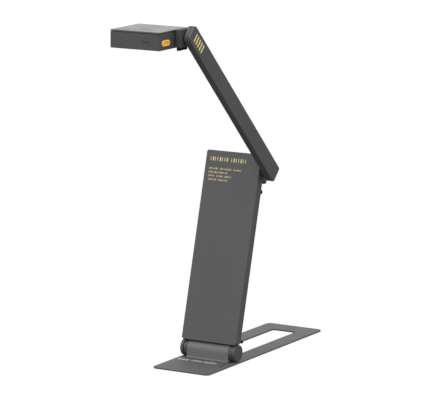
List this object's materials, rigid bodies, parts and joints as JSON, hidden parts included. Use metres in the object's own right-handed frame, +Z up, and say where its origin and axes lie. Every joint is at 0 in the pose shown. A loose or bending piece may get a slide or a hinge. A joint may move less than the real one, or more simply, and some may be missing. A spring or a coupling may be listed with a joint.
{
  "type": "document camera",
  "caption": "Folding desk document camera: slotted flat base, leaning slab stand, slim offset arm and a flat square camera head with an amber focus button.",
  "frame": {"origin": "on the table plane, on the underside of the front pad, straight below the middle of the base hinge's axis", "axes": "+Z up; +Y to the rear, along the slotted plate; X along all three hinge axes, with the arm and the focus button on the +X side"},
  "size_m": [0.0757, 0.3128, 0.3519],
  "materials": {
    "painted_steel": "fine matte graphite paint",
    "graphite": "fine matte graphite grey",
    "graphite_dark": "matte dark graphite",
    "steel": "machined steel",
    "zinc_screw": "dark zinc plate",
    "rubber": "soft black rubber",
    "black_plastic": "fine black satin",
    "board_green": "green solder mask",
    "sensor": "dark glossy cover",
    "lens_glass": "coated lens",
    "amber": "smooth amber orange",
    "diffuser": "frosted white"
  },
  "bodies": {
    "base": {"base_plate": "painted_steel", "front_pad": "rubber", "left_pad": "rubber", "right_pad": "rubber", "rear_pad": "rubber", "hinge_bracket": "painted_steel", "base_hinge_pin": "steel", "friction_ring_left": "graphite_dark", "friction_ring_right": "graphite_dark", "bracket_screw_1": "zinc_screw", "bracket_screw_2": "zinc_screw", "bracket_screw_3": "zinc_screw", "bracket_screw_4": "zinc_screw"},
    "stand": {"stand_front_cover": "graphite", "stand_back_cover": "graphite", "stand_frame": "steel", "knuckle_left": "graphite_dark", "knuckle_right": "graphite_dark", "elbow_hinge_block": "steel", "elbow_spring_washer": "zinc_screw", "elbow_nut": "zinc_screw", "lower_stop_left": "rubber", "lower_stop_right": "rubber", "upper_stop_left": "rubber", "upper_stop_right": "rubber", "lead_grommet": "rubber", "back_screw_1": "zinc_screw", "back_screw_2": "zinc_screw", "back_screw_3": "zinc_screw", "back_screw_4": "zinc_screw"},
    "arm": {"arm_outer_cover": "graphite", "arm_inner_cover": "graphite", "arm_core": "steel", "arm_flex_lead": "amber", "elbow_pin": "steel", "elbow_boss": "graphite_dark", "arm_screw_1": "zinc_screw", "arm_screw_2": "zinc_screw", "arm_screw_3": "zinc_screw", "arm_screw_4": "zinc_screw"},
    "head": {"wrist_block": "graphite_dark", "wrist_plug": "black_plastic", "wrist_pin": "steel", "wrist_washer": "steel", "head_shell": "graphite", "head_top_cover": "graphite", "lens_bezel": "black_plastic", "lens_barrel": "black_plastic", "lens_glass": "lens_glass", "image_sensor": "sensor", "circuit_board": "board_green", "focus_switch": "black_plastic", "microphone_cover": "black_plastic", "light_window": "diffuser", "head_screw_1": "zinc_screw", "head_screw_2": "zinc_screw", "head_screw_3": "zinc_screw", "head_screw_4": "zinc_screw"},
    "button": {"focus_button": "amber"}
  },
  "joints": [
    {"name": "stand_tilt", "type": "hinge", "parent": "base", "child": "stand", "pos_m": [0, 0, 0.0108], "axis": [1, 0, 0], "range_deg": [-74.5, 15]},
    {"name": "elbow_fold", "type": "hinge", "parent": "stand", "child": "arm", "pos_m": [0, 0.05001, 0.19068], "axis": [-1, 0, 0], "range_deg": [-75, 45]},
    {"name": "wrist_tilt", "type": "hinge", "parent": "arm", "child": "head", "pos_m": [0, -0.0999, 0.34059], "axis": [-1, 0, 0], "range_deg": [-90, 90]},
    {"name": "focus_press", "type": "slide", "parent": "head", "child": "button", "axis": [-1, 0, 0], "range_m": [0, 0.0008], "stiffness_N_per_m": 600, "springref_m": -0.0006}
  ]
}
